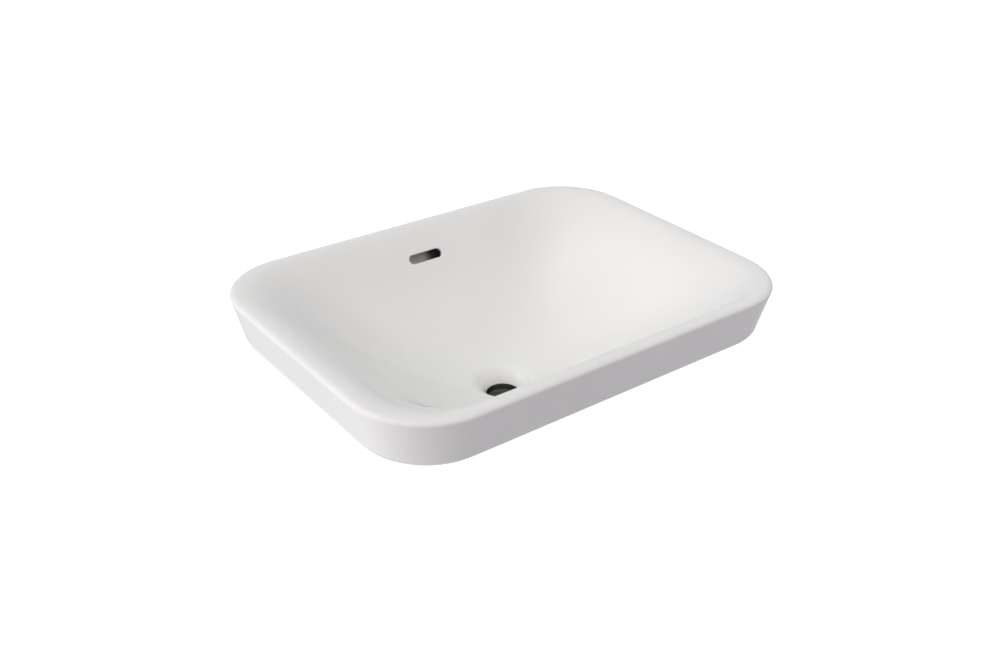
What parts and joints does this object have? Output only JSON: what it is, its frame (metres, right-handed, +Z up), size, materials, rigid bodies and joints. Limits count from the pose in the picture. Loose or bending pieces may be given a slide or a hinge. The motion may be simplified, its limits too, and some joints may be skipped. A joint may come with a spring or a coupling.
{
  "type": "counter washbasin",
  "caption": "Rounded rectangular inset washbasin in white glazed china with an overflow slot and a push-open waste whose plug lifts.",
  "frame": {"origin": "middle of the basin on the counter's top plane, which is the foot of the apron, on the drain's axis", "axes": "+X along the basin's length, +Y towards the back, where the overflow slot is, +Z up"},
  "size_m": [0.56, 0.415, 0.212],
  "materials": {
    "glazed_china": "clear gloss glaze",
    "white_enamel": "gloss enamel",
    "gunmetal": "dark satin plating on brass",
    "bare_brass": "turned, unplated",
    "black_rubber": "moulded, matt",
    "grey_nylon": "moulded, matt",
    "white_acetal": "moulded, slippery",
    "spring_steel": "drawn, bright"
  },
  "bodies": {
    "root": {"basin": "glazed_china", "flange_cover": "white_enamel", "flange_gasket": "black_rubber", "waste_body": "gunmetal", "lower_gasket": "black_rubber", "friction_washer": "grey_nylon", "back_nut": "bare_brass", "cartridge_sleeve": "grey_nylon", "guide_cap": "grey_nylon", "cartridge_screw": "spring_steel", "return_spring": "spring_steel"},
    "plug": {"plug_cap": "gunmetal", "plug_seal": "black_rubber", "plug_post": "bare_brass", "lock_nut": "bare_brass", "plunger": "bare_brass"},
    "rotor": {"latch_rotor": "white_acetal"}
  },
  "joints": [
    {"name": "plug_lift", "type": "slide", "parent": "root", "child": "plug", "axis": [0, 0, 1], "range_m": [0, 0.009], "deforming": ["return_spring"]},
    {"name": "rotor_turn", "type": "hinge", "parent": "plug", "child": "rotor", "pos_m": [0, 0, -0.1355], "axis": [0, 0, 1], "range_deg": [0, 60]}
  ],
  "couplings": [
    {"joint": "rotor_turn", "follows": "plug_lift", "rad_per_m": 116.36}
  ]
}
